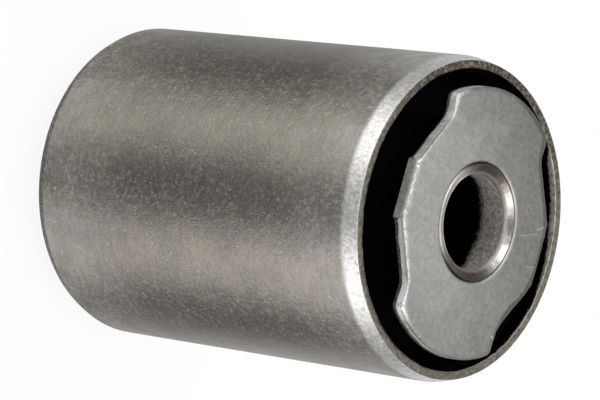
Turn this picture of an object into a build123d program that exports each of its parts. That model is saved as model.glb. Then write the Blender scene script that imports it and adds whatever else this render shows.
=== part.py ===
from build123d import *
import math
import os

# A rubber metal bush: a steel sleeve and a steel tube joined by bonded rubber, with a lobed
# stop plate pressed on each end of the tube. The axis is Z, and the origin is the bush's centre.
# All sizes are in mm and degrees.

# Outer sleeve: a rolled tube with both ends swaged inwards, the lower one more steeply.
sleeve_length = 75.0
sleeve_diameter = 56.0
sleeve_wall = 1.5
upper_swage_length = 2.8  # along the axis
upper_swage_depth = 0.7  # how far the wall moves inwards
upper_bend_radius = 3.0  # on the outside of the bend
lower_swage_length = 1.8
lower_swage_depth = 0.8
lower_bend_radius = 1.0
sleeve_edge_radius = 0.2  # worn edges of the sheared end

# Inner tube: a thick tube with a shoulder and a spigot at each end.
bore_diameter = 16.3
tube_diameter = 25.0
spigot_diameter = 20.4
mouth_land = 0.25  # flat ring left between a spigot's outside and the chamfer in its mouth
mouth_depth = 0.85
mouth_edge_radius = 1.0  # where the chamfer runs into the bore
spigot_edge_radius = 0.1
tube_shoulder_chamfer = 0.4

# Stop plates: stamped from sheet, with two lobes along Y and a cut-off flank on each side.
plate_thickness = 2.0
plate_gap = 1.4  # along the axis, between a plate and the sleeve's end
lobe_radius = 23.0
lobe_half_width = 12.8  # as far along the lobe as the lobe is wide
lobe_side_lean = 7.0  # degrees that the lobe widens by, on each side
lobe_corner_radius = 1.1
notch_root_radius = 3.2  # the round inner corner of each notch
notch_side_angle = 33.0  # degrees between the notch's straight side and the lobes' axis
cutoff_distance = 19.0  # from the axis to the straight cut that freed the plate from its strip
cutoff_half_width = 5.2
cutoff_corner_radius = 0.3
plate_edge_radius = 0.35  # die roll on the outer face
plate_hole_edge_radius = 0.3

# Rubber: moulded in place, so it takes its bonded faces from the sleeve and the tube.
rubber_edge_gap = 0.3  # between the rubber and the start of the sleeve's longer swage
rubber_rise = 0.6  # how much further out the rubber reaches at the tube than at the sleeve
rubber_hollow_depth = 6.5  # of the hollow in each end face, below the rubber's edge
rubber_lip = 1.2  # flat land of rubber beside the tube and beside the sleeve

# Places worked out from those sizes.
sleeve_radius = sleeve_diameter / 2
bore_radius = bore_diameter / 2
tube_radius = tube_diameter / 2
spigot_radius = spigot_diameter / 2
sleeve_end = sleeve_length / 2
shoulder_height = sleeve_end + plate_gap
tube_end = shoulder_height + plate_thickness


def swaged_end(length, depth, bend_radius):
    """Corners of a swaged end at +Z, outside first, and the height where the bore stops being straight."""
    angle = math.atan2(depth, length)
    bend = sleeve_end - length
    inner_bend = bend - sleeve_wall * math.tan(angle / 2)  # a little later, as the wall keeps its thickness
    inner_bend_radius = max(bend_radius - sleeve_wall, 0)
    end_radius = sleeve_radius - depth
    end_wall = sleeve_wall / math.cos(angle)
    corners = [
        (sleeve_radius, bend, bend_radius),
        (end_radius, sleeve_end, sleeve_edge_radius),
        (end_radius - end_wall, sleeve_end, sleeve_edge_radius),
        (sleeve_radius - sleeve_wall, inner_bend, inner_bend_radius),
    ]
    return corners, inner_bend - inner_bend_radius * math.tan(angle / 2)


upper_end, upper_bore_end = swaged_end(upper_swage_length, upper_swage_depth, upper_bend_radius)
lower_end, lower_bore_end = swaged_end(lower_swage_length, lower_swage_depth, lower_bend_radius)
rubber_edge = min(upper_bore_end, lower_bore_end) - rubber_edge_gap  # both end faces of the rubber are alike


def turned(corners):
    """Revolve a closed section about Z; each corner is (radius, height, rounding)."""
    points = [(radius, height) for radius, height, rounding in corners]
    roundings = [rounding for radius, height, rounding in corners]
    with BuildPart() as part:
        with BuildSketch(Plane.XZ):
            with BuildLine():
                FilletPolyline(*points, radius=roundings, close=True)
            make_face()
        revolve(axis=Axis.Z)
    return part.part


def both_ends(upper_corners, lower_corners):
    """Close a section from its upper and its lower half. Both are given as if at +Z, outside first."""
    turned_over = [(radius, -height, rounding) for radius, height, rounding in reversed(lower_corners)]
    return upper_corners + turned_over


def make_outer_sleeve():
    return turned(both_ends(upper_end, lower_end))


def make_inner_tube():
    """A spigot at each end carries a stop plate, and each mouth has a wide chamfer."""
    end = [
        (tube_radius, shoulder_height, tube_shoulder_chamfer),
        (spigot_radius, shoulder_height, 0),
        (spigot_radius, tube_end, spigot_edge_radius),
        (spigot_radius - mouth_land, tube_end, 0),
        (bore_radius, tube_end - mouth_depth, mouth_edge_radius),
    ]
    return turned(both_ends(end, end))


def make_rubber_body():
    """A solid ring of rubber with a round hollow moulded into each end face."""
    outer_radius = sleeve_radius - sleeve_wall
    inner_edge = rubber_edge + rubber_rise
    hollow_inner = tube_radius + rubber_lip
    hollow_outer = outer_radius - rubber_lip
    hollow_middle = (hollow_inner + hollow_outer) / 2
    with BuildPart() as part:
        with BuildSketch(Plane.XZ):
            with BuildLine():
                Line((tube_radius, 0), (tube_radius, inner_edge))
                Line((tube_radius, inner_edge), (hollow_inner, inner_edge))
                ThreePointArc(
                    (hollow_inner, inner_edge),
                    (hollow_middle, rubber_edge - rubber_hollow_depth),
                    (hollow_outer, rubber_edge),
                )
                Line((hollow_outer, rubber_edge), (outer_radius, rubber_edge))
                Line((outer_radius, rubber_edge), (outer_radius, 0))
                Line((outer_radius, 0), (tube_radius, 0))
            make_face()
        revolve(axis=Axis.Z)
        mirror(about=Plane.XY)
    return part.part


def notch_corner():
    """Where the notch's straight side and the lobe's side would meet, before the root is rounded."""
    side = math.tan(math.radians(notch_side_angle))
    lean = math.tan(math.radians(lobe_side_lean))
    lobe_start = lobe_half_width * (1 - lean)  # where the lobe's side would cross the X axis
    y = (cutoff_distance + side * cutoff_half_width - lobe_start) / (side + lean)
    return cutoff_distance - side * (y - cutoff_half_width), y


def flank_cutter():
    """The outline that the die takes away on the +X side of a stop plate."""
    corner_x, corner_y = notch_corner()
    beyond = 2 * lobe_radius
    rise = beyond - corner_y
    tip_x = corner_x + rise * math.tan(math.radians(lobe_side_lean))
    upper = [
        (tip_x, beyond, 0),
        (corner_x, corner_y, notch_root_radius),
        (cutoff_distance, cutoff_half_width, cutoff_corner_radius),
    ]
    lower = [(x, -y, rounding) for x, y, rounding in reversed(upper)]
    outside = [(2 * beyond, -beyond, 0), (2 * beyond, beyond, 0)]
    corners = upper + lower + outside
    points = [(x, y) for x, y, rounding in corners]
    FilletPolyline(*points, radius=[rounding for x, y, rounding in corners], close=True)


def is_on_lobe_radius(edge):
    middle = edge.center()
    return abs(math.hypot(middle.X, middle.Y) - lobe_radius) < 0.001


def make_upper_stop_plate():
    """A disc with a flank cut away on each side, which leaves two lobes along Y."""
    with BuildPart() as part:
        with BuildSketch(Plane.XY.offset(shoulder_height)):
            Circle(lobe_radius)
            with BuildSketch(mode=Mode.PRIVATE) as cutter:
                with BuildLine():
                    flank_cutter()
                make_face()
            add(cutter.sketch, mode=Mode.SUBTRACT)
            add(mirror(cutter.sketch, about=Plane.YZ), mode=Mode.SUBTRACT)
            Circle(spigot_radius, mode=Mode.SUBTRACT)
        extrude(amount=plate_thickness)
        lobe_corners = part.edges().filter_by(Axis.Z).filter_by(is_on_lobe_radius)
        fillet(lobe_corners, lobe_corner_radius)
        top_face = part.faces().sort_by(Axis.Z)[-1]
        fillet(top_face.outer_wire().edges(), plate_edge_radius)
        hole_edge = part.faces().sort_by(Axis.Z)[-1].inner_wires()[0].edges()
        fillet(hole_edge, plate_hole_edge_radius)
    return part.part


upper_stop_plate = make_upper_stop_plate()

parts = {
    "outer_sleeve": make_outer_sleeve(),
    "rubber_body": make_rubber_body(),
    "inner_tube": make_inner_tube(),
    "upper_stop_plate": upper_stop_plate,
    "lower_stop_plate": mirror(upper_stop_plate, about=Plane.XY),
}

os.makedirs("parts", exist_ok=True)
for name, solid in parts.items():
    export_step(solid, f"parts/{name}.step")
    print(name, "volume", round(solid.volume, 1), "mm3")
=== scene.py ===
import bisect
import math

import bmesh
import bpy
from mathutils import Matrix, Vector
from mathutils import noise as unevenness
from mathutils.geometry import delaunay_2d_cdt


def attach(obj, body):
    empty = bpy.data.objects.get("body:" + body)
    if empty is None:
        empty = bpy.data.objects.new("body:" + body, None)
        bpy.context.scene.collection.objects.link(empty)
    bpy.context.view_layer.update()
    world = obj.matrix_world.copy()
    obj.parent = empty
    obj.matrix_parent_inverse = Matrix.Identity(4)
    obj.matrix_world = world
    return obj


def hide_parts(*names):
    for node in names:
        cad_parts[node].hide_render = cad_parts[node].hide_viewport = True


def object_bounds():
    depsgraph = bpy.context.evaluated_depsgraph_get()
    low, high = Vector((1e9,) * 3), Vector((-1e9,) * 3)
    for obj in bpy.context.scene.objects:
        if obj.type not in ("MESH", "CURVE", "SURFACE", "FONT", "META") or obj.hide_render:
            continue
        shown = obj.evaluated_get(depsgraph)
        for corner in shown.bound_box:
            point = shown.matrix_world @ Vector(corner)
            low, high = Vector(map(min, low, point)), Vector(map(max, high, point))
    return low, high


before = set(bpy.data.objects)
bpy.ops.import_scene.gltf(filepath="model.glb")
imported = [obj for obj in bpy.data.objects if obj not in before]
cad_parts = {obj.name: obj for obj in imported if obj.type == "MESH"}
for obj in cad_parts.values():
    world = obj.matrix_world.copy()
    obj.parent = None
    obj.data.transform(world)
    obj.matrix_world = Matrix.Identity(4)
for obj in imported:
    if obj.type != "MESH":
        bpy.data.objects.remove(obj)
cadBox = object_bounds()
print("frame loaded:", ", ".join(sorted(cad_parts)))

mm = 0.001  # sizes are written in millimetres and made in metres


class Flow:  # a socket to calculate with: arithmetic on it adds Math nodes to its tree
    def __init__(self, tree, socket=None):
        self.tree, self.socket = tree, socket

    def node(self, kind, settings=None, values=None, output=0):  # settings are set first
        made = self.tree.nodes.new(kind)
        for name, value in (settings or {}).items():
            setattr(made, name, value)
        for name, value in (values or {}).items():
            socket = pickSocket(made.inputs, name)
            if isinstance(value, Flow):
                self.tree.links.new(value.socket, socket)
            else:
                socket.default_value = value
        return Flow(self.tree, pickSocket(made.outputs, output))

    def math(self, operation, *terms):
        return self.node("ShaderNodeMath", {"operation": operation}, dict(enumerate(terms)))

    def __add__(self, other):
        return self.math("ADD", self, other)

    def __sub__(self, other):
        return self.math("SUBTRACT", self, other)

    def __rsub__(self, other):
        return self.math("SUBTRACT", other, self)

    def __mul__(self, other):
        return self.math("MULTIPLY", self, other)

    def __truediv__(self, other):
        return self.math("DIVIDE", self, other)

    def __rtruediv__(self, other):
        return self.math("DIVIDE", other, self)

    def __pow__(self, other):
        return self.math("POWER", self, other)

    def __abs__(self):
        return self.math("ABSOLUTE", self)

    __radd__ = __add__
    __rmul__ = __mul__

    def rise(self, low, high, bottom=0.0, top=1.0):  # a smooth step from bottom at low to top at high
        values = {"Value": self, "From Min": low, "From Max": high, "To Min": bottom, "To Max": top}
        return self.node("ShaderNodeMapRange", {"interpolation_type": "SMOOTHSTEP"}, values)

    def axes(self):
        return [self.node("ShaderNodeSeparateXYZ", values={"Vector": self}, output=k) for k in range(3)]

    def vector(self, x, y, z):
        return self.node("ShaderNodeCombineXYZ", values={"X": x, "Y": y, "Z": z})

    def scaled(self, factor):
        return self.node("ShaderNodeVectorMath", {"operation": "SCALE"}, {"Vector": self, "Scale": factor})

    def noise(self, place, size, detail=2.0, roughness=0.5):  # size of a blotch, in mm
        values = {"Vector": place, "Scale": 1 / (size * mm), "Detail": detail, "Roughness": roughness}
        return self.node("ShaderNodeTexNoise", values=values, output="Fac")

    def cells(self, place, size, output="Distance"):  # size of a cell, in mm
        values = {"Vector": place, "Scale": 1 / (size * mm)}
        return self.node("ShaderNodeTexVoronoi", values=values, output=output)

    def blend(self, mask, below, above, mode="MIX"):  # colours
        return self.node(
            "ShaderNodeMix",
            {"data_type": "RGBA", "blend_type": mode},
            {"Factor": mask, "A": below, "B": above},
            "Result",
        )


def pickSocket(sockets, name):
    if isinstance(name, int):
        return sockets[name]
    return next(socket for socket in sockets if socket.enabled and socket.name == name)


def tone(level, red=1.0, blue=1.0):  # a linear grey with its red and blue turned up or down
    return (level * red, level, level * blue, 1.0)


def inMetres(sizes):
    return [size * mm for size in sizes]


def startMaterial(name):
    material = bpy.data.materials.new(name)
    material.use_nodes = True
    material.node_tree.nodes.clear()
    return material, Flow(material.node_tree)


def finishMaterial(material, surface):
    output = material.node_tree.nodes.new("ShaderNodeOutputMaterial")
    material.node_tree.links.new(surface.socket, output.inputs["Surface"])
    return material


def roundCorners(corners, step):  # corners (x, y, rounding) round a closed outline, all in mm
    points = []
    for k, (x, y, rounding) in enumerate(corners):
        here = Vector((x, y))
        into = (here - Vector(corners[k - 1][:2])).normalized()
        out = (Vector(corners[(k + 1) % len(corners)][:2]) - here).normalized()
        turn = math.atan2(into.x * out.y - into.y * out.x, into.dot(out))
        if rounding == 0 or abs(turn) < 0.001:
            points.append(here)
            continue
        side = Vector((-into.y, into.x)) * math.copysign(rounding, turn)
        centre = here - into * rounding * math.tan(abs(turn) / 2) + side
        count = max(2, math.ceil(rounding * abs(turn) / step))
        points += [centre - Matrix.Rotation(turn * j / count, 2) @ side for j in range(count + 1)]
    return points


def fillGaps(points, spacing):  # spacing(middle of a gap) is the widest gap allowed there
    filled = []
    for k, point in enumerate(points):
        after = points[(k + 1) % len(points)]
        count = max(1, math.ceil((after - point).length / spacing((point + after) / 2)))
        filled += [point.lerp(after, j / count) for j in range(count)]
    return filled


def makeTurningTree():  # a closed section swept round a circle, then dented inwards
    tree = bpy.data.node_groups.new("turned_ring", "GeometryNodeTree")
    kinds = {"Section": "Geometry", "Segments": "Int", "Material": "Material"}
    sizes = ["Path Radius", "Seed", "Fine From", "Edge From", "Edge Inside"]
    sizes += [layer + measure for layer in ("Broad", "Fine", "Edge") for measure in (" Size", " Depth")]
    kinds.update({name: "Float" for name in sizes})
    for name, kind in kinds.items():
        tree.interface.new_socket(name, in_out="INPUT", socket_type="NodeSocket" + kind)
    tree.interface.new_socket("Ring", in_out="OUTPUT", socket_type="NodeSocketGeometry")
    given = tree.nodes.new("NodeGroupInput")
    flow = Flow(tree)
    value = {name: Flow(tree, given.outputs[name]) for name in kinds}
    section = flow.node("GeometryNodeMeshToCurve", values={"Mesh": value["Section"]})
    circle = {"Resolution": value["Segments"], "Radius": value["Path Radius"]}
    path = flow.node("GeometryNodeCurvePrimitiveCircle", values=circle, output="Curve")
    swept = {"Curve": path, "Profile Curve": section, "Fill Caps": False}
    ring = flow.node("GeometryNodeCurveToMesh", values=swept)
    place = flow.node("GeometryNodeInputPosition")
    normal = flow.node("GeometryNodeInputNormal")
    x, y, z = place.axes()
    nx, ny, nz = normal.axes()
    radius = (x * x + y * y) ** 0.5
    outside = ((nx * x + ny * y) / radius).rise(0.3, 0.7)

    def wave(size, detail):
        values = {"Vector": place, "W": value["Seed"], "Scale": 1 / size, "Detail": detail}
        return flow.node("ShaderNodeTexNoise", {"noise_dimensions": "4D"}, values, "Fac")

    cell = {"Vector": place, "W": value["Seed"], "Scale": 1 / value["Fine Size"]}
    near = flow.node("ShaderNodeTexVoronoi", {"voronoi_dimensions": "4D"}, cell, "Distance")
    bowl = 1 - flow.math("MINIMUM", near * near, 1.0)
    fineFade, edgeFade = 0.3 * mm, 0.2 * mm  # the distance over which a layer sets in
    fine = bowl * value["Fine Depth"] * outside * (abs(z) - value["Fine From"]).rise(0.0, fineFade)
    broad = wave(value["Broad Size"], 2.0) * value["Broad Depth"] * outside
    lip = (abs(z) - value["Edge From"]).rise(0.0, edgeFade)
    lip = lip * (value["Edge Inside"] - radius).rise(0.0, edgeFade)
    edge = wave(value["Edge Size"], 3.0).rise(0.35, 0.75) * value["Edge Depth"] * lip
    moved = {"Geometry": ring, "Offset": normal.scaled(0 - (fine + broad + edge))}
    ring = flow.node("GeometryNodeSetPosition", values=moved)
    ring = flow.node("GeometryNodeSetShadeSmooth", values={"Geometry": ring})
    ring = flow.node("GeometryNodeRealizeInstances", values={"Geometry": ring})
    ring = flow.node("GeometryNodeSetMaterial", values={"Geometry": ring, "Material": value["Material"]})
    result = tree.nodes.new("NodeGroupOutput")
    tree.links.new(ring.socket, result.inputs["Ring"])
    return tree


def addObject(name, mesh):
    piece = bpy.data.objects.new(name, mesh)
    bpy.context.scene.collection.objects.link(piece)
    return piece


def turnPiece(name, section, settings):  # section points (radius, height) in mm
    area = sum(a.x * b.y - b.x * a.y for a, b in zip(section, section[1:] + section[:1]))
    if area > 0:  # the sweep turns a clockwise section into faces that point outwards
        section = section[::-1]
    reach = max(point.x for point in section)
    mesh = bpy.data.meshes.new(name + "_section")
    points = [((point.x - reach) * mm, -point.y * mm, 0) for point in section]
    mesh.from_pydata(points, [(k, (k + 1) % len(points)) for k in range(len(points))], [])
    seed = addObject(name + "_section", mesh)
    modifier = seed.modifiers.new("turning", "NODES")
    modifier.node_group = turningTree
    plain = {"Broad Size": 5 * mm, "Broad Depth": 0.0, "Fine Size": mm, "Fine Depth": 0.0, "Fine From": 1.0}
    inputs = {"Path Radius": reach * mm, **plain, **settings}
    for item in turningTree.interface.items_tree:
        if item.in_out == "INPUT" and item.name in inputs:
            modifier[item.identifier] = inputs[item.name]
    done = bpy.data.meshes.new_from_object(seed.evaluated_get(bpy.context.evaluated_depsgraph_get()))
    bpy.data.objects.remove(seed)
    work = bmesh.new()
    work.from_mesh(done)
    reportMesh(name, work)
    work.free()
    return addObject(name, done)


def reportMesh(name, work):
    volume = work.calc_volume(signed=True) / mm**3
    openEdges = sum(edge.is_boundary for edge in work.edges)
    print(name, "volume", round(volume, 1), "mm3,", len(work.faces), "faces,", openEdges, "open edges")


def finishPiece(piece, node):
    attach(piece, "root")
    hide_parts(node)


turningTree = makeTurningTree()

sleeveValues = {  # sizes in mm
    "radius": 28.0,
    "halfLength": 37.5,
    "wall": 1.5,
    "upperSwage": (2.8, 0.7, 6.0),  # length, depth and rounding of the bend
    "lowerSwage": (1.8, 0.8, 1.0),
    "edgeRounding": 0.2,
    "bendLead": 0.8,  # how far before each bend the close points begin, outside and inside
    "boreLead": 3.0,
    "segments": 800,
    "arcStep": 0.12,
    "outerFrom": 27.0,  # points of the section beyond this radius take the outer steps
    "outerSteps": (4.0, 0.22),  # the widest gap between points along the wall and at the ends
    "innerSteps": (12.0, 0.4),
    "waveSize": 9.0,
    "waveDepth": 0.02,
    "peenSize": 0.62,
    "peenDepth": 0.035,
    "wearSize": 2.6,
    "wearDepth": 0.1,
    "wearFrom": 36.8,
    "wearInside": 26.1,
    "steel": tone(0.355, 1.06, 0.89),
    "stain": tone(0.24, 1.03, 0.85),
    "worn": tone(0.62, 1.045, 0.945),
    "paleBesideBand": tone(0.8, 1.02, 0.97),  # paler beside the band, along +Y
    "speck": tone(0.85, 1.03, 0.95),
    "pit": tone(0.10, 1.0, 0.85),
    "yellowish": tone(1.04, 1.0, 0.925),  # tints are multiplied in
    "bluish": tone(0.935, 1.02, 1.045),
    "coolSide": tone(0.985, 1.02, 1.01),
    "warmSide": tone(1.0, 1.0, 0.97),
    # the swaged band: burnished steel, and in part a painted highlight that makes it near white; the lower
    # tone is in its dents
    "bandBurnishAndSheen": tone(0.97, 1.01, 0.985),
    "bandLowBurnishAndSheen": tone(0.72, 1.01, 0.98),
    "cutEnd": tone(0.205, 1.06, 0.80),
    "cutEndDark": tone(0.10, 1.2, 0.8),
    "cutEndPale": tone(0.26, 1.06, 0.9),
    "rust": tone(0.04, 1.35, 0.8),
    "innerWall": tone(0.78, 1.04, 0.89),
    "innerScale": tone(0.37, 1.10, 0.82),
    "innerWallBlack": tone(0.002),
    "grainSize": 0.34,
    "mottleSize": 0.85,
    "cloudSize": 5.0,
    "speckSize": 0.42,
    "streakSize": 0.9,
    "dentSize": 0.55,
    "hueSize": 1.6,
    "driftSize": 16.0,
    "rustSize": 0.8,
    "wornHeights": (12, 36),  # from the middle, where the wear begins and is full
    "paleBesideBandAcross": (14, 24),
    "paleBesideBandHeights": (14, 31),
    "innerWallBlackHeight": 35.6,  # where the black ends on the inner wall
    "roughness": 0.3,
    "bandRoughness": 0.26,
    "bumpDepth": 0.05,
}


def makeSleeveSteel():
    look = sleeveValues
    material, flow = startMaterial("sleeve_steel")
    place = flow.node("ShaderNodeTexCoord", output="Object")
    x, y, z = place.axes()
    nx, ny, nz = flow.node("ShaderNodeTexCoord", output="Normal").axes()
    outside = (nx * x + ny * y).rise(-0.002, 0.002)
    bandStart = look["halfLength"] - look["upperSwage"][0]
    lowStart = look["lowerSwage"][0] - look["halfLength"]
    upperBand = z.rise((bandStart - 0.8) * mm, (bandStart + 0.5) * mm) * outside
    lowerBand = z.rise((lowStart + 0.1) * mm, (lowStart - 0.1) * mm) * outside
    end = abs(nz).rise(0.55, 0.85)
    inside = (1 - outside) * (1 - end)
    ends = abs(z).rise(*inMetres(look["wornHeights"]))

    fine = flow.noise(place, look["grainSize"], 2.0, 0.7)
    mottle = flow.noise(place, look["mottleSize"], 3.0, 0.65)
    cloud = flow.noise(place, look["cloudSize"], 2.0)
    angle = flow.math("ARCTAN2", y, x)
    streak = flow.noise(flow.vector(angle * 0.004, z, 0.0), look["streakSize"], 3.0)
    speck = flow.noise(place, look["speckSize"], 2.0, 0.8).rise(0.64, 0.74)
    near = flow.cells(place, look["mottleSize"])
    chosen = flow.cells(place, look["mottleSize"], "Color").axes()[0]
    dot = near.rise(0.1, 0.27, 1.0, 0.0) * chosen.rise(0.55, 0.95)
    # paler beside the band along +Y, towards the upper end
    paleBesideBand = y.rise(*inMetres(look["paleBesideBandAcross"])) * z.rise(*inMetres(look["paleBesideBandHeights"]))

    steel = flow.blend(ends * 0.6, look["steel"], look["worn"])
    steel = flow.blend(paleBesideBand * 0.8, steel, look["paleBesideBand"])
    steel = flow.blend(cloud.rise(0.4, 0.65) * 0.3, steel, look["stain"])
    steel = flow.blend(streak.rise(0.45, 0.7) * 0.2, steel, look["stain"])
    steel = flow.blend(mottle.rise(0.5, 0.3, 0.0, 0.18), steel, look["pit"])
    steel = flow.blend(mottle.rise(0.5, 0.72, 0.0, 0.17), steel, look["speck"])
    steel = flow.blend(fine.rise(0.5, 0.72, 0.0, 0.09), steel, look["speck"])
    steel = flow.blend(fine.rise(0.5, 0.3, 0.0, 0.12), steel, look["pit"])
    steel = flow.blend(speck * 0.3, steel, look["speck"])
    steel = flow.blend(dot * 0.65, steel, look["speck"])

    hue = flow.noise(place, look["hueSize"], 3.0, 0.6)
    tint = flow.blend(hue.rise(0.35, 0.65), look["yellowish"], look["bluish"])
    drift = (flow.noise(place, look["driftSize"], 1.0) - 0.5) * 40 * mm
    sideTint = flow.blend((y + drift).rise(-12 * mm, 14 * mm), look["coolSide"], look["warmSide"])
    tint = flow.blend(1.0, tint, sideTint, "MULTIPLY")
    steel = flow.blend(1.0, steel, tint, "MULTIPLY")

    # the swaged band's colour is partly burnish and partly a painted highlight
    dent = flow.noise(place, look["dentSize"], 2.0)
    bright = flow.blend(dent.rise(0.3, 0.6), look["bandLowBurnishAndSheen"], look["bandBurnishAndSheen"])
    steel = flow.blend(upperBand, steel, bright)
    steel = flow.blend(lowerBand, steel, look["worn"])

    rust = flow.noise(place, look["rustSize"], 4.0, 0.7)
    cut = flow.blend(rust.rise(0.4, 0.65), look["cutEnd"], look["cutEndDark"])
    cut = flow.blend(rust.rise(0.42, 0.3), cut, look["cutEndPale"])
    topRust = y.rise(6 * mm, 22 * mm) * rust.rise(0.38, 0.55)
    cut = flow.blend(topRust * 0.8, cut, look["rust"])
    steel = flow.blend(end, steel, cut)

    scale = flow.blend(rust.rise(0.42, 0.64), look["innerWall"], look["innerScale"])
    higher = 0.4 * mm + y.rise(16 * mm, 20 * mm) * 1.8 * mm  # how far past its height the black reaches
    higher = higher + y.rise(7 * mm, -1 * mm) * 0.7 * mm + y.rise(-1 * mm, -8 * mm) * 0.6 * mm
    # the inner wall is black below a height that changes round the sleeve
    innerWallBlackMask = abs(z) + (rust - 0.5) * 2.4 * mm - higher
    innerWallBlackMask = innerWallBlackMask.rise((look["innerWallBlackHeight"] + 0.3) * mm, (look["innerWallBlackHeight"] - 0.3) * mm) * inside
    steel = flow.blend(inside, steel, scale)
    steel = flow.blend(innerWallBlackMask, steel, look["innerWallBlack"])

    rough = look["roughness"] + ends * 0.08 + z.rise(5 * mm, -30 * mm) * 0.07
    rough = rough + fine.rise(0.45, 0.75) * 0.09 + mottle.rise(0.48, 0.68) * 0.15 + dot * 0.12
    rough = rough + upperBand * (look["bandRoughness"] - look["roughness"]) + inside * 0.3
    relief = {
        "Height": fine * 0.75 + mottle * 1.15 + dent * upperBand * 0.5,
        "Strength": 1 - upperBand * 0.6,
        "Distance": look["bumpDepth"] * mm,
    }
    values = {
        "Base Color": steel,
        "Metallic": 1 - inside * (1 - innerWallBlackMask) * 0.85,
        "Roughness": rough,
        "Normal": flow.node("ShaderNodeBump", values=relief),
    }
    return finishMaterial(material, flow.node("ShaderNodeBsdfPrincipled", values=values))


def sleeveEnd(length, depth, rounding):
    shape = sleeveValues
    slope = math.atan2(depth, length)
    end = shape["halfLength"]
    start = end - length
    endRadius = shape["radius"] - depth
    innerRadius = shape["radius"] - shape["wall"]
    innerStart = start - shape["wall"] * math.tan(slope / 2)
    return [
        (shape["radius"], start - shape["bendLead"], 0),
        (shape["radius"], start, rounding),
        (endRadius, end, shape["edgeRounding"]),
        (endRadius - shape["wall"] / math.cos(slope), end, shape["edgeRounding"]),
        (innerRadius, innerStart, max(0, rounding - shape["wall"])),
        (innerRadius, start - shape["boreLead"], 0),
    ]


def turnedOver(corners):  # the same corners at the other end, in the order that closes the section
    return [(radius, -height, rounding) for radius, height, rounding in reversed(corners)]


def makeSleeve():
    shape = sleeveValues
    bandStart = shape["halfLength"] - shape["upperSwage"][0]

    def spacing(middle):
        steps = shape["outerSteps"] if middle.x > shape["outerFrom"] else shape["innerSteps"]
        return steps[0] if abs(middle.y) < bandStart - shape["bendLead"] else steps[1]

    corners = sleeveEnd(*shape["upperSwage"]) + turnedOver(sleeveEnd(*shape["lowerSwage"]))
    section = fillGaps(roundCorners(corners, shape["arcStep"]), spacing)
    settings = {
        "Segments": shape["segments"], "Seed": 4.0, "Material": sleeveSteel,
        "Broad Size": shape["waveSize"] * mm, "Broad Depth": shape["waveDepth"] * mm,
        "Fine Size": shape["peenSize"] * mm, "Fine Depth": shape["peenDepth"] * mm,
        "Fine From": bandStart * mm,
        "Edge Size": shape["wearSize"] * mm, "Edge Depth": shape["wearDepth"] * mm,
        "Edge From": shape["wearFrom"] * mm, "Edge Inside": shape["wearInside"] * mm,
    }
    finishPiece(turnPiece("swaged_sleeve", section, settings), "outer_sleeve")


sleeveSteel = makeSleeveSteel()
makeSleeve()
print("sleeve made")

rubberValues = {  # sizes in mm
    "tubeRadius": 12.5,
    "sleeveRadius": sleeveValues["radius"] - sleeveValues["wall"],
    "edgeHeight": 34.0,
    "tubeHeight": 34.6,
    "hollowDepth": 6.5,
    "lip": 1.2,
    "lipRounding": 0.5,
    "flash": 0.35,
    "flashWidth": 0.25,
    "flashRounding": 0.1,
    "segments": 220,
    "steps": (12.0, 0.8),  # the widest gap between points along the bonded wall and at the ends
    "wearSize": 4.0,
    "wearDepth": 0.25,
    "wearFrom": 24.0,
    "wearInside": 25.5,
    "black": tone(0.001),
    "bloom": tone(0.002, 1.04, 0.95),
    "bloomSize": 6.0,
    "grainSize": 0.5,
    "roughness": 0.66,
    "specular": 0.03,
    "bumpDepth": 0.05,
}


def makeRubber():
    look = rubberValues
    material, flow = startMaterial("rubber")
    place = flow.node("ShaderNodeTexCoord", output="Object")
    grain = flow.noise(place, look["grainSize"], 3.0, 0.6)
    bloom = flow.noise(place, look["bloomSize"], 2.0)
    relief = {"Height": grain, "Strength": 0.4, "Distance": look["bumpDepth"] * mm}
    values = {
        "Base Color": flow.blend(bloom.rise(0.4, 0.7), look["black"], look["bloom"]),
        "Roughness": look["roughness"] + (grain - 0.5) * 0.2,
        "Specular IOR Level": look["specular"],
        "Normal": flow.node("ShaderNodeBump", values=relief),
    }
    return finishMaterial(material, flow.node("ShaderNodeBsdfPrincipled", values=values))


def rubberHollow(inner, outer):  # corners of the round hollow between the two lips
    shape = rubberValues
    count = 24
    middle, half = (inner + outer) / 2, (outer - inner) / 2
    corners = []
    for k in range(1, count):
        turn = math.pi * k / count
        rim = shape["edgeHeight"] + (shape["tubeHeight"] - shape["edgeHeight"]) * (1 + math.cos(turn)) / 2
        height = rim - shape["hollowDepth"] * math.sin(turn) ** 0.8
        corners.append((middle - half * math.cos(turn), height, 0))
    return corners


def makeRubberRing():
    shape = rubberValues
    inner, outer = shape["tubeRadius"] + shape["lip"], shape["sleeveRadius"] - shape["lip"]
    upper = [
        (shape["tubeRadius"], shape["tubeHeight"] + shape["flash"], shape["flashRounding"]),
        (shape["tubeRadius"] + shape["flashWidth"], shape["tubeHeight"], 0.25),
        (inner, shape["tubeHeight"], shape["lipRounding"]),
        *rubberHollow(inner, outer),
        (outer, shape["edgeHeight"], shape["lipRounding"]),
        (shape["sleeveRadius"] - shape["flashWidth"], shape["edgeHeight"], 0.2),
        (shape["sleeveRadius"], shape["edgeHeight"] + shape["flash"], shape["flashRounding"]),
    ]

    def spacing(middle):
        return shape["steps"][0] if abs(middle.y) < 20 else shape["steps"][1]

    section = fillGaps(roundCorners(upper + turnedOver(upper), 0.15), spacing)
    settings = {
        "Segments": shape["segments"], "Seed": 9.0, "Material": rubberBlack,
        "Edge Size": shape["wearSize"] * mm, "Edge Depth": shape["wearDepth"] * mm,
        "Edge From": shape["wearFrom"] * mm, "Edge Inside": shape["wearInside"] * mm,
    }
    finishPiece(turnPiece("rubber_ring", section, settings), "rubber_body")


rubberBlack = makeRubber()
makeRubberRing()
print("rubber made")

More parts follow.
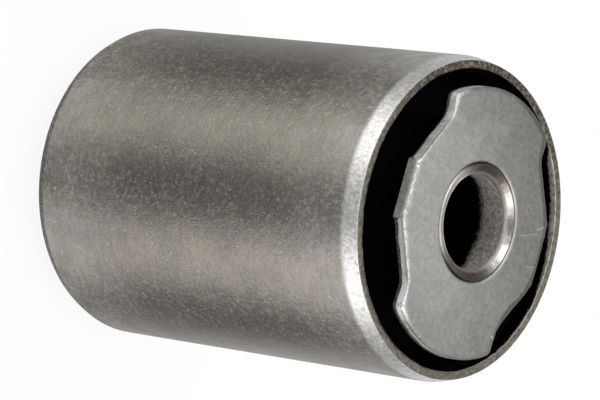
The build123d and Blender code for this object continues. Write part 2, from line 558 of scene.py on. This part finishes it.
tubeValues = {  # sizes in mm
    "boreRadius": 8.15,
    "radius": rubberValues["tubeRadius"],
    "spigotRadius": 10.2,
    "shoulderHeight": 38.9,
    "shoulderRounding": 0.4,
    "endHeight": 40.9,
    "land": 0.2,
    "mouthDepth": 0.85,
    "mouthRounding": 0.4,
    "edgeRounding": 0.2,
    "segments": 260,
    "steps": (5.0, 0.35),  # the widest gap between points along the tube and at its ends
    "wearSize": 1.4,
    "wearDepth": 0.04,
    "wearFrom": 39.1,
    "wearInside": 9.9,
    "steel": tone(0.46, 1.07, 0.92),
    "steelDark": tone(0.22, 1.1, 0.90),
    "flake": tone(0.10, 0.95, 0.72),
    "speck": tone(0.75, 1.0, 0.97),
    "mouth": tone(0.28, 1.1, 0.93),
    # painted light and shade on the chamfer: paler on the -X side, darker brown towards +Y and -Y
    "mouthLitSide": tone(0.5, 1.08, 0.93),
    "mouthShadedSides": tone(0.08, 1.3, 0.76),
    "grooveShade": tone(0.04, 1.3, 0.8),  # painted shade: the dark line in the groove round the tube's end, left out on the -X side
    # painted shadow: a black diffuse surface deep in the bore
    "boreShadow": tone(0.0005),
    "boreShadowHeight": (35.4, 36.8),  # painted shadow deep in the bore: it covers the bore below the first and is gone above the second
    "grainSize": 0.45,
    "flakeSize": 0.8,
    "turningSize": 1.6,
    "roughness": 0.28,
    "bumpDepth": 0.02,
}


def makeTubeSteel():
    look = tubeValues
    material, flow = startMaterial("tube_steel")
    place = flow.node("ShaderNodeTexCoord", output="Object")
    x, y, z = place.axes()
    radius = (x * x + y * y) ** 0.5
    facingX, facingY = x / radius, y / radius
    angle = flow.math("ARCTAN2", y, x)
    grain = flow.noise(place, look["grainSize"], 3.0, 0.65)
    turned = flow.noise(flow.vector(radius * 12, z * 12, angle * 0.0006), look["turningSize"], 2.0)
    flake = flow.noise(place, look["flakeSize"], 4.0, 0.75)
    speck = flow.noise(place, 0.5, 2.0, 0.8).rise(0.66, 0.74)
    colour = flow.blend(grain.rise(0.35, 0.7), look["steelDark"], look["steel"])
    colour = flow.blend(flake.rise(0.48, 0.62) * 0.6, colour, look["flake"])
    colour = flow.blend(speck, colour, look["speck"])

    # painted shadow deep in the bore, reaching further towards the end on the -Y side and less far on the +X
    # side
    lower, upper = look["boreShadowHeight"]
    boreShadowReach = facingY.rise(-0.5, -1.0) * 1.4 * mm - facingX.rise(0.3, 1.0) * 0.9 * mm
    deep = (abs(z) + (flake - 0.5) * 3.4 * mm - boreShadowReach).rise(upper * mm, lower * mm)
    mouth = abs(z).rise((look["endHeight"] - 1.5) * mm, (look["endHeight"] - 1.0) * mm)
    # painted shade in the groove round the tube's end, left out on the -X side
    grooveShade = radius.rise((look["spigotRadius"] - 0.5) * mm, (look["spigotRadius"] - 0.25) * mm)
    grooveShade = grooveShade * facingX.rise(-0.95, -0.4)
    light = mouth * facingX.rise(-0.2, -0.8)
    # painted light and shade: the chamfer is made paler on the -X side and darker brown towards +Y and -Y
    ring = flow.blend(facingX.rise(-0.2, -0.8), look["mouth"], look["mouthLitSide"])
    ring = flow.blend(abs(facingY).rise(0.55, 0.95) * 0.9, ring, look["mouthShadedSides"])
    colour = flow.blend(mouth * 0.85, colour, ring)
    colour = flow.blend(grooveShade * mouth, colour, look["grooveShade"])

    bored = radius.rise((look["boreRadius"] + 0.75) * mm, (look["boreRadius"] + 0.05) * mm)
    relief = {"Height": turned * 0.6 + grain, "Strength": 0.3, "Distance": look["bumpDepth"] * mm}
    values = {
        "Base Color": colour,
        "Metallic": 1 - bored * 0.7 - light * 0.35,
        "Roughness": look["roughness"] + (grain - 0.5) * 0.2 + bored * 0.4,
        "Normal": flow.node("ShaderNodeBump", values=relief),
    }
    steel = flow.node("ShaderNodeBsdfPrincipled", values=values)
    boreShadow = flow.node("ShaderNodeBsdfDiffuse", values={"Color": look["boreShadow"]})
    surface = flow.node("ShaderNodeMixShader", values={0: deep * bored, 1: steel, 2: boreShadow})
    return finishMaterial(material, surface)


def makeTube():
    shape = tubeValues
    landRadius = shape["spigotRadius"] - shape["edgeRounding"] - shape["land"]
    upper = [
        (shape["radius"], shape["shoulderHeight"], shape["shoulderRounding"]),
        (shape["spigotRadius"], shape["shoulderHeight"], 0),
        (shape["spigotRadius"], shape["endHeight"] - 0.05, shape["edgeRounding"]),
        (landRadius, shape["endHeight"], 0.05),
        (shape["boreRadius"], shape["endHeight"] - shape["mouthDepth"], shape["mouthRounding"]),
    ]

    def spacing(middle):
        return shape["steps"][1] if abs(middle.y) > 39 else shape["steps"][0]

    section = fillGaps(roundCorners(upper + turnedOver(upper), 0.15), spacing)
    settings = {
        "Segments": shape["segments"], "Seed": 2.0, "Material": tubeSteel,
        "Edge Size": shape["wearSize"] * mm, "Edge Depth": shape["wearDepth"] * mm,
        "Edge From": shape["wearFrom"] * mm, "Edge Inside": shape["wearInside"] * mm,
    }
    finishPiece(turnPiece("thick_tube", section, settings), "inner_tube")


tubeSteel = makeTubeSteel()
makeTube()
print("tube made")

plateValues = {  # sizes in mm and degrees
    "top": tubeValues["endHeight"],  # height of the outer face above the bush's centre
    "thickness": tubeValues["endHeight"] - tubeValues["shoulderHeight"],
    "lobeRadius": 23.0,
    "lobeHalfWidth": 12.8,
    "lobeLean": 7.0,
    "lobeCorner": 1.1,
    "lowerLobeOver": 0.45,  # how much longer than true the lobe along -Y is
    "rootRounding": 3.2,
    "notchAngle": 33.0,
    "cutDistance": 19.0,
    "cutHalfWidth": 5.2,
    "cutCorner": 0.3,
    "cutSlant": 0.45,
    "cutBevel": 0.2,
    "astray": {  # how far the stamped corners lie from true: cut, root and lobe corner of each quarter
        "rightBottom": ((0.0, -0.5), (-0.5, -1.1), (-0.8, -1.2)),
        "rightTop": ((0.0, 0.0), (-0.45, 0.5), (-0.5, -0.3)),
        "leftTop": ((0.0, -0.2), (-0.4, 0.2), (-0.4, -0.2)),
        "leftBottom": ((0.0, 0.0), (-0.4, -0.1), (-0.1, -0.25)),
    },
    "holeRadius": tubeValues["spigotRadius"],
    "holeRounding": (0.75, 0.35),  # width and depth
    "rollWidth": 1.0,
    "rollDepth": 0.22,
    "sheared": 0.75,  # share of the wall that the punch left smooth
    "tear": 0.05,
    "dishing": 0.035,
    "step": 0.15,
    "faceStep": 1.3,
    "holeSegments": 240,
    "zinc": (tone(0.33, 1.0, 0.93), tone(0.445, 0.99, 0.94)),  # each pair is mottled, darker tone first
    "shaded": (tone(0.125, 1.0, 0.93), tone(0.195, 1.0, 0.94)),
    "torn": (tone(0.05, 1.02, 0.95), tone(0.13)),
    "cutTorn": (tone(0.035, 1.02, 0.9), tone(0.06)),
    "patch": tone(0.33, 1.01, 0.9),
    "grain": tone(0.6, 0.99, 0.96),
    "glint": tone(0.78, 0.99, 0.98),
    # painted shade on the outer die roll at the left, outside the cut-off
    "leftRollShade": tone(0.08, 1.0, 0.95),
    # painted shade on the die roll along the +X side, with a dark diffuse surface mixed in
    "farRollShade": tone(0.03, 1.0, 0.93),
    "farRollShadeDiffuse": tone(0.085, 1.0, 0.93),
    "shear": tone(0.62, 0.99, 0.95),
    "upperShear": tone(0.3, 0.99, 0.95),  # just under the die roll
    # painted highlight on the sheared wall near the lower left lobe corner
    "cornerShearHighlight": tone(0.85, 1.03, 0.97),
    "cloudSize": 1.0,
    "patchSize": 4.5,
    "grainSize": 0.3,
    "spotSize": 0.45,
    "roughness": 0.45,
    "bumpDepth": 0.05,
    "marks": [  # scratches and patches: start and end, half width, and (how strong, colour)
        (12.0, 1.2, 16.6, 2.9, 0.17, (0.33, tone(0.55))),
        (16.0, 3.4, 18.0, 4.6, 0.3, (0.4, tone(0.55))),
        (15.5, -3.3, 18.4, -2.6, 0.15, (0.3, tone(0.6))),
        (11.4, -17.0, 12.4, -17.2, 0.2, (0.8, tone(0.8))),
        (-2.6, 16.6, 1.6, 16.6, 1.3, (0.5, tone(0.34, 1.05, 0.80))),
        (-13.5, -15.5, -9.0, -16.5, 2.4, (0.35, tone(0.36, 0.9, 1.06))),
    ],
}


def plateCorners():  # the outline's corners in four lists, anticlockwise from the lower right
    shape = plateValues
    side = math.tan(math.radians(shape["notchAngle"]))
    lean = math.tan(math.radians(shape["lobeLean"]))
    start = shape["lobeHalfWidth"] * (1 - lean)
    rootY = (shape["cutDistance"] + side * shape["cutHalfWidth"] - start) / (side + lean)
    rootX = shape["cutDistance"] - side * (rootY - shape["cutHalfWidth"])
    tipY = -start * lean + math.sqrt(shape["lobeRadius"]**2 * (1 + lean**2) - start**2)
    tipY = tipY / (1 + lean**2)
    true = [(shape["cutDistance"], shape["cutHalfWidth"]), (rootX, rootY), (start + lean * tipY, tipY)]
    roundings = [shape["cutCorner"], shape["rootRounding"], shape["lobeCorner"]]
    signs = {"rightBottom": (1, -1), "rightTop": (1, 1), "leftTop": (-1, 1), "leftBottom": (-1, -1)}
    quarters = []
    for name, (signX, signY) in signs.items():
        quarter = []
        for (x, y), (offX, offY), rounding in zip(true, shape["astray"][name], roundings):
            quarter.append((signX * x + offX, signY * y + offY, rounding))
        quarters.append(quarter if signX * signY > 0 else quarter[::-1])
    return quarters, true[-1]


def plateOutline():
    shape = plateValues
    reach = shape["lobeRadius"]
    (rightBottom, rightTop, leftTop, leftBottom), tip = plateCorners()
    count = round((math.pi - 2 * math.atan2(tip[1], tip[0])) * reach)

    def arc(start, end, over):  # points of a lobe's round end between two of its corners
        first, last = math.atan2(start[1], start[0]), math.atan2(end[1], end[0])
        if last < first:
            last += 2 * math.pi
        radii = math.hypot(*start[:2]), math.hypot(*end[:2])
        points = []
        for k in range(1, count):
            turn = first + (last - first) * k / count
            radius = max(reach - 0.2, radii[0] + (radii[1] - radii[0]) * smooth(k, 0, count))
            radius = reach + over + (radius - reach - over) * abs(2 * k / count - 1) ** 2.5
            points.append((radius * math.cos(turn), radius * math.sin(turn), 0))
        return points

    top = arc(rightTop[-1], leftTop[0], 0.0)
    bottom = arc(leftBottom[-1], rightBottom[0], shape["lowerLobeOver"])
    outline = rightBottom + rightTop + top + leftTop + leftBottom + bottom
    return evenly(fillGaps(roundCorners(outline, 0.1), lambda middle: 0.05), shape["step"])


def evenly(points, step):  # the same closed outline with points at equal steps
    ends = points[1:] + points[:1]
    lengths = [(after - before).length for before, after in zip(points, ends)]
    total = sum(lengths)
    count = round(total / step)
    result, k, walked = [], 0, 0.0
    for j in range(count):
        wanted = total * j / count
        while walked + lengths[k] < wanted:
            walked += lengths[k]
            k += 1
        result.append(points[k].lerp(ends[k], (wanted - walked) / lengths[k]))
    return result


def outwardNormals(points, reach):  # smoothed over a reach of points on each side
    count = len(points)
    across = []
    for k in range(count):
        along = (points[(k + 2) % count] - points[k - 2]).normalized()
        across.append(Vector((along.y, -along.x)))
    normals = []
    for k in range(count):
        nearby = (across[(k + j) % count] for j in range(-reach, reach + 1))
        normals.append(sum(nearby, Vector((0, 0))).normalized())
    return normals


def fillFace(outer, inner, step):  # triangles between two closed outlines round the axis
    count = len(outer)
    beyond, rowShare, margin = 26.0, 0.866, 0.45 * step
    turns = sorted((math.atan2(point.y, point.x), point.length) for point in outer)
    points = list(outer) + list(inner)
    edges = [(k, (k + 1) % count) for k in range(count)]
    edges += [(count + k, count + (k + 1) % len(inner)) for k in range(len(inner))]
    rows = int(beyond / step)
    for row in range(-rows, rows + 1):
        for column in range(-rows, rows + 1):
            place = Vector(((column + 0.5 * (row % 2)) * step, row * step * rowShare))
            astray = [unevenness.noise((place.x, place.y, layer)) for layer in (3.1, 7.7)]
            place += Vector(astray) * 0.3
            k = bisect.bisect(turns, (math.atan2(place.y, place.x), 0.0))
            edge = min(turns[k - 1][1], turns[k % count][1])
            if inner[0].length + margin < place.length < edge - margin:
                points.append(place)
    filled = delaunay_2d_cdt(points, edges, [], 0, 1e-6)
    places, triangles = filled[0], filled[2]
    faces = []
    for triangle in triangles:
        a, b, c = sorted(triangle)
        if a >= count and c < count + len(inner):  # across the hole
            continue
        if c < count and (places[b] - places[a]).cross(places[c] - places[a]) < 0:  # across a notch
            continue
        faces.append(tuple(triangle))
    return places, faces


def wallRings(outline, seed):  # rings of (place, height, roll, torn), from the outer face down the wall
    shape = plateValues
    normals = outwardNormals(outline, round(1.0 / shape["step"]))
    count = len(outline)

    def uneven(k, size, offset):  # from about -1 to 1
        return unevenness.noise(Vector((outline[k].x / size, outline[k].y / size, seed + offset))) * 1.6

    freed, rollSizes, bevels = [], [], []  # the cut-off's share, the die roll's width, and its extra fall
    for k in range(count):
        cutOff = smooth(abs(outline[k].y), shape["cutHalfWidth"] + 0.3, shape["cutHalfWidth"] - 0.3)
        cutOff *= smooth(abs(outline[k].x), shape["cutDistance"] - 0.6, shape["cutDistance"] - 0.2)
        freed.append(cutOff)
        narrow = cutOff if outline[k].x < 0 else 0.2 * cutOff
        bevels.append(shape["cutBevel"] * narrow * (1 + 0.6 * uneven(k, 0.9, 12)))
        convex = normals[k - 5].cross(normals[(k + 5) % count])
        size = 1 + 0.25 * uneven(k, 5.0, 1) + 0.12 * uneven(k, 0.9, 4) + 0.6 * max(-0.5, min(1.0, convex))
        size *= 1 + 0.5 * smooth(normals[k].x, 0.2, 0.8)
        rollSizes.append(size * (1 - 0.5 * narrow) * (1 + 0.7 * narrow * max(0.0, uneven(k, 0.7, 8))))

    rings = []
    for share in (0, 0.25, 0.5, 0.72, 0.88, 0.97, 1.0):  # across the die roll
        ring = []
        for k in range(count):
            place = outline[k] - normals[k] * (1 - share) * shape["rollWidth"] * rollSizes[k]
            drop = share**2.2 * shape["rollDepth"] * rollSizes[k] + (0.04 if share == 1.0 else 0)
            ring.append((place, -drop - share * bevels[k], share, 0.0))
        rings.append(ring)
    for depth in (0.0, 0.12, 0.3, 0.55, 0.8, 1.0):  # down the torn part of the wall
        ring = []
        rippling = 0.9 if depth < 1 else 0.5
        for k in range(count):
            sheared = shape["sheared"] * (1 - 0.9 * freed[k]) * (1 + 0.2 * uneven(k, 2.5, 2))
            sheared *= 1 - 0.22 * smooth(-outline[k].y, 4, 6)
            start = shape["rollDepth"] * rollSizes[k] + bevels[k] + 0.12
            height = -start - (shape["thickness"] - start) * (sheared + (1 - sheared) * depth)
            out = shape["cutSlant"] * freed[k] * depth
            if depth > 0:
                ripple = uneven(k, 0.5, 10 * depth) * rippling * (1 - 0.5 * freed[k])
                out += shape["tear"] * (0.6 + ripple)
            if depth == 1.0:
                height = -shape["thickness"]
            ring.append((outline[k] + normals[k] * out, height, 0.0, min(1.0, depth * 9)))
        rings.append(ring)
    return rings


def holeRings():  # the same for the hole, which is round
    shape = plateValues
    wide, deep = shape["holeRounding"]
    steps = []
    for t in (0, 0.3, 0.6, 0.9, 1.2, 1.4, 1.5708):
        steps.append((wide * (1 - math.sin(t)), deep * (1 - math.cos(t)), t / 1.6))
    steps += [(0.0, 1.2, 0.0), (0.0, shape["thickness"], 0.0)]
    turns = [2 * math.pi * k / shape["holeSegments"] for k in range(shape["holeSegments"])]
    rings = []
    for out, drop, roll in steps:
        radius = shape["holeRadius"] + out
        places = [Vector((radius * math.cos(turn), radius * math.sin(turn))) for turn in turns]
        rings.append([(place, -drop, roll, 0.0) for place in places])
    return rings


def makeStopPlate(name, node, upwards, seed):
    shape = plateValues
    outer, inner = wallRings(plateOutline(), seed), holeRings()
    work = bmesh.new()
    rollLayer, tornLayer = (work.verts.layers.float.new(layer) for layer in ("rolled", "torn"))

    def addPoint(place, height, roll, torn):
        vert = work.verts.new((place.x * mm, place.y * mm, (shape["top"] + height) * mm))
        vert[rollLayer], vert[tornLayer] = roll, torn
        return vert

    outerVerts = [[addPoint(*point) for point in ring] for ring in outer]
    innerVerts = [[addPoint(*point) for point in ring] for ring in inner]
    for grid in (outerVerts, innerVerts):
        for above, below in zip(grid, grid[1:]):
            for k in range(len(above)):
                after = (k + 1) % len(above)
                work.faces.new((above[k], below[k], below[after], above[after]))
    for level, height in ((0, 0.0), (-1, -shape["thickness"])):
        edge, hole = ([point[0] for point in grid[level]] for grid in (outer, inner))
        places, faces = fillFace(edge, hole, shape["faceStep"])
        verts = outerVerts[level] + innerVerts[level]
        for place in places[len(verts):]:
            dip = shape["dishing"] * (0.5 + 0.5 * unevenness.noise(Vector((place.x / 5, place.y / 5, seed))))
            verts.append(addPoint(place, height - (dip if level == 0 else -dip), 0.0, 0.0))
        for face in faces:
            work.faces.new([verts[k] for k in face])
    if not upwards:
        for vert in work.verts:
            vert.co.z = -vert.co.z
    bmesh.ops.recalc_face_normals(work, faces=work.faces)
    mesh = bpy.data.meshes.new(name)
    work.to_mesh(mesh)
    reportMesh(name, work)
    work.free()
    mesh.shade_smooth()
    mesh.set_sharp_from_angle(angle=math.radians(50))
    mesh.materials.append(zincPlate)
    finishPiece(addObject(name, mesh), node)


def smooth(value, low, high):  # a smooth step, 0 at low and 1 at high
    share = min(1.0, max(0.0, (value - low) / (high - low)))
    return share * share * (3 - 2 * share)


def makeZincPlate():
    look = plateValues
    material, flow = startMaterial("zinc_plate")
    place = flow.node("ShaderNodeTexCoord", output="Object")
    x, y, z = place.axes()
    nz = flow.node("ShaderNodeTexCoord", output="Normal").axes()[2]
    rolled = flow.node("ShaderNodeAttribute", {"attribute_name": "rolled"}, output="Fac")
    torn = flow.node("ShaderNodeAttribute", {"attribute_name": "torn"}, output="Fac")
    cloud = flow.noise(place, look["cloudSize"], 4.0, 0.72)
    patch = flow.noise(place, look["patchSize"], 2.0)
    grain = flow.noise(place, look["grainSize"], 2.0)
    spots = flow.noise(place, look["spotSize"], 2.0, 0.7)

    colour = flow.blend(cloud.rise(0.3, 0.7), *look["zinc"])
    colour = flow.blend(patch.rise(0.35, 0.7) * 0.4, colour, look["patch"])
    shaded = flow.blend(cloud.rise(0.3, 0.7), *look["shaded"])
    across = (x * 0.95 + y * 0.31 + (patch - 0.5) * 9 * mm).rise(-13 * mm, 18 * mm)
    outwards = (abs(y) + (patch - 0.5) * 6 * mm).rise(9 * mm, 22 * mm)
    colour = flow.blend(across * 0.75, colour, shaded)
    colour = flow.blend(outwards * 0.35, colour, shaded)
    colour = flow.blend(grain.rise(0.5, 0.75) * 0.1, colour, look["grain"])
    for startX, startY, endX, endY, width, (strength, markTone) in look["marks"]:
        length = math.hypot(endX - startX, endY - startY)
        alongX, alongY = (endX - startX) / length, (endY - startY) / length
        fromX, fromY = x - startX * mm, y - startY * mm
        along = fromX * alongX + fromY * alongY
        offLine = abs(fromX * alongY - fromY * alongX + (grain - 0.5) * 0.2 * mm)
        mark = offLine.rise(width * mm, width * 0.3 * mm) * along.rise(-0.3 * mm, 0.3 * mm)
        mark = mark * along.rise((length + 0.3) * mm, (length - 0.3) * mm)
        colour = flow.blend(mark * strength, colour, markTone)

    left = (0 - x).rise(10 * mm, 13 * mm)
    byHole = (x * x + y * y).rise(*(((look["holeRadius"] + over) * mm) ** 2 for over in (1.3, 1.0)))
    flank = 1 - abs(y).rise(*((look["cutHalfWidth"] + over) * mm for over in (-0.5, 0.5)))
    flankGlint = flank * spots.rise(0.42, 0.56) + y.rise(-5 * mm, -6 * mm) * spots.rise(0.35, 0.6) * 0.5
    lobeGlint = abs(y).rise(13.5 * mm, 15 * mm) * spots.rise(0.2, 0.6) * rolled.rise(0.1, 0.7) * 0.5
    holeGlint = byHole * x.rise(-4 * mm, 8 * mm) * rolled * 0.5
    glint = (flankGlint * rolled.rise(0.3, 0.8) + lobeGlint) * left + holeGlint
    colour = flow.blend(flow.math("MINIMUM", glint, 1.0), colour, look["glint"])
    # painted shade: the outer die roll on the left is darkened outside the cut-off, most between y 6 and 12
    # mm, to hold back its reflection
    betweenCorners = y.rise(5 * mm, 6 * mm) * y.rise(15 * mm, 12 * mm) * 0.5 + 0.3
    leftRollShading = left * rolled.rise(0.75, 0.97) * betweenCorners * (1 - flank)
    colour = flow.blend(leftRollShading, colour, look["leftRollShade"])
    # painted shade: the die roll on the +X side is darkened, and a dark diffuse surface is mixed in there
    # below
    away = (x * 0.98 + y * 0.2).rise(6 * mm, 12 * mm) * (1 - byHole)
    farRollShade = rolled.rise(0.0, 0.4) * (1 - rolled.rise(0.75, 0.95) * 0.7) * away
    colour = flow.blend(farRollShade * 0.75, colour, look["farRollShade"])

    wall = abs(nz).rise(0.4, 0.15)
    cut = flank * (0 - x).rise((look["cutDistance"] - 2) * mm, (look["cutDistance"] - 1) * mm)
    below = look["top"] * mm - abs(z)
    underRoll = below.rise(0.8 * mm, 0.6 * mm) * y.rise(-4 * mm, -5 * mm)
    shear = flow.blend(underRoll, look["shear"], look["upperShear"])
    # painted highlight: the sheared wall near the lower left lobe corner is made brighter
    shear = flow.blend(left * y.rise(-13.6 * mm, -14.8 * mm), shear, look["cornerShearHighlight"])
    colour = flow.blend(wall * (1 - torn) * 0.9, colour, shear)
    rip = flow.noise(flow.vector(x, y, z * 0.3), 0.35, 3.0, 0.7)
    cutRip = flow.noise(flow.vector(x, y, z * 0.2), 0.18, 3.0, 0.6)
    ripped = flow.blend(rip.rise(0.35, 0.65), *look["torn"])
    ripped = flow.blend(cut, ripped, flow.blend(cutRip.rise(0.35, 0.65), *look["cutTorn"]))
    colour = flow.blend(torn * wall, colour, ripped)

    relief = {
        "Height": cloud * 0.9 + grain * 0.3 + rip * torn * (2 - cut * 1.25),
        "Strength": 0.8,
        "Distance": look["bumpDepth"] * mm,
    }
    values = {
        "Base Color": colour,
        "Metallic": 1 - wall * 0.5,
        "Roughness": look["roughness"] + (cloud - 0.5) * 0.15 + torn * 0.15,
        "Normal": flow.node("ShaderNodeBump", values=relief),
    }
    zinc = flow.node("ShaderNodeBsdfPrincipled", values=values)
    # the dark diffuse surface of the painted shade on the +X die roll
    farRollShadeDiffuse = flow.node("ShaderNodeBsdfDiffuse", values={"Color": look["farRollShadeDiffuse"]})
    surface = flow.node("ShaderNodeMixShader", values={0: farRollShade * 0.85, 1: zinc, 2: farRollShadeDiffuse})
    return finishMaterial(material, surface)


zincPlate = makeZincPlate()
makeStopPlate("stop_plate_top", "upper_stop_plate", True, 5.0)
makeStopPlate("stop_plate_bottom", "lower_stop_plate", False, 21.0)
print("stop plates made")

studio = {  # degrees and metres
    "floorSize": 8.0,
    "floorGlow": 0.91,
    "floorColour": tone(0.8),
    "worldAmbient": 1.1,
    "cards": {  # soft cards that metal sees: azimuth, full and fading half width, change low down and level
        "grey_back": (94, 6, 42, -0.8, -0.62),
        "grey_front": (-166, 6, 36, -0.78, -0.7),
        "grey_right": (-64, 6, 40, -0.8, -0.68),
        "grey_far": (44, 8, 30, -0.52, -0.35),
        "grey_edge": (-16, 3, 24, -0.32, -0.3),
        "light_back": (149, 4, 26, 0.0, 0.35),
        "light_front": (-117, 4, 28, 0.18, 0.4),
    },
    "cardHeights": (-33, -22, 13, 37),  # elevations: low down, level, full up to, and gone from
    "highCards": {  # cards that only the chamfer sees: azimuth, full and fading half width, change
        "dark_right": (-32, 10, 34, -0.7),
        "dark_left": (46, 8, 28, -0.7),
    },
    "highCardHeights": (4, 16, 38, 52),  # gone below, full from, full up to, and gone from
    "overheadHeights": (64, 76),  # the light straight above fades in between
    "overheadDarker": 0.65,
    "softboxes": {  # azimuth, elevation, distance, width, height, radiance
        "overhead_left": (92, 68, 0.6, 0.22, 0.2, 5.0),
        "overhead_right": (-63, 68, 0.6, 0.22, 0.2, 5.0),
    },
    "azimuth": -167.6,  # this and all below are the camera's
    "elevation": 41.302,
    "distance": 0.63048,
    "roll": 97.212,
    "aside": (0.000401, -0.00008),  # the view's centre beside the bush's centre
    "lens": 214.33,
    "sensor": 36.0,
    "clip": (0.01, 50.0),
}


def towards(azimuth, elevation, distance):  # a point seen from the bush's centre, azimuth from +X
    turn, lift = math.radians(azimuth), math.radians(elevation)
    flat = distance * math.cos(lift)
    return Vector((flat * math.cos(turn), flat * math.sin(turn), distance * math.sin(lift)))


def heights(elevations):
    return [math.sin(math.radians(elevation)) for elevation in elevations]


def makeWorld():  # white all round, but metal also sees the soft cards
    world = bpy.data.worlds.new("white_surround")
    world.use_nodes = True
    world.node_tree.nodes.clear()
    flow = Flow(world.node_tree)
    x, y, z = flow.node("ShaderNodeTexCoord", output="Generated").axes()
    flat = (x * x + y * y + 0.0001) ** 0.5

    def card(azimuth, inner, outer):  # 1 in front of a card and 0 beyond its soft edge
        turn = math.radians(azimuth)
        facing = (x * math.cos(turn) + y * math.sin(turn)) / flat
        return facing.rise(math.cos(math.radians(outer)), math.cos(math.radians(inner)))

    light = 1 - z.rise(-0.7, -0.88) * 0.9  # the ground under the bush
    low, level, high, top = heights(studio["cardHeights"])
    for azimuth, inner, outer, lowChange, levelChange in studio["cards"].values():
        change = z.rise(low, level, lowChange, levelChange) * z.rise(top, high)
        light = light * (1 + card(azimuth, inner, outer) * change)
    low, level, high, top = heights(studio["highCardHeights"])
    for azimuth, inner, outer, change in studio["highCards"].values():
        light = light * (1 + card(azimuth, inner, outer) * change * z.rise(low, level) * z.rise(top, high))
    light = light * (1 - studio["overheadDarker"] * z.rise(*heights(studio["overheadHeights"])))

    camera, glossy, transmission = (
        flow.node("ShaderNodeLightPath", output="Is " + name + " Ray") for name in
        ("Camera", "Glossy", "Transmission"))
    metal = flow.math("MAXIMUM", glossy, transmission)
    strength = flow.math("MAXIMUM", metal * light, camera)
    other = 1 - flow.math("MAXIMUM", camera, metal)
    strength = strength + other * studio["worldAmbient"]
    background = flow.node("ShaderNodeBackground", values={"Color": tone(1.0), "Strength": strength})
    output = world.node_tree.nodes.new("ShaderNodeOutputWorld")
    world.node_tree.links.new(background.socket, output.inputs["Surface"])
    bpy.context.scene.world = world


def makeFloor():
    low = cadBox[0].z
    half = studio["floorSize"] / 2
    mesh = bpy.data.meshes.new("floor")
    corners = [(-half, -half, low), (half, -half, low), (half, half, low), (-half, half, low)]
    mesh.from_pydata(corners, [], [(0, 1, 2, 3)])
    floor = addObject("floor", mesh)
    material, flow = startMaterial("floor_white")
    camera = flow.node("ShaderNodeLightPath", output="Is Camera Ray")
    matt = flow.node("ShaderNodeBsdfDiffuse", values={"Color": studio["floorColour"]})
    glow = flow.node("ShaderNodeEmission", values={"Color": tone(1.0), "Strength": 1.0})
    surface = flow.node("ShaderNodeMixShader", values={0: camera * studio["floorGlow"], 1: matt, 2: glow})
    mesh.materials.append(finishMaterial(material, surface))
    floor.visible_glossy = floor.visible_transmission = False  # metal sees the white world through it


def addSoftbox(name, azimuth, elevation, distance, width, height, radiance):
    lamp = bpy.data.lights.new(name, "AREA")
    lamp.shape = "RECTANGLE"
    lamp.size, lamp.size_y = width, height
    lamp.energy = radiance * math.pi * width * height
    box = addObject(name, lamp)
    box.location = towards(azimuth, elevation, distance)
    box.rotation_mode = "QUATERNION"
    box.rotation_quaternion = (-box.location).to_track_quat("-Z", "Y")
    box.visible_camera = False


def makeCamera():
    camera = bpy.data.cameras.new("camera")
    camera.lens, camera.sensor_width = studio["lens"], studio["sensor"]
    camera.clip_start, camera.clip_end = studio["clip"]
    holder = addObject("camera", camera)
    holder.location = towards(studio["azimuth"], studio["elevation"], studio["distance"])
    roll = Matrix.Rotation(math.radians(studio["roll"]), 3, "Z")
    turned = (-holder.location).to_track_quat("-Z", "Y").to_matrix() @ roll
    aim = turned.col[0] * studio["aside"][0] + turned.col[1] * studio["aside"][1]
    holder.rotation_euler = ((aim - holder.location).to_track_quat("-Z", "Y").to_matrix() @ roll).to_euler()
    bpy.context.scene.camera = holder


makeWorld()
makeFloor()
for boxName, boxValues in studio["softboxes"].items():
    addSoftbox(boxName, *boxValues)
makeCamera()
bpy.context.scene.view_settings.view_transform = "Standard"
print("studio made")
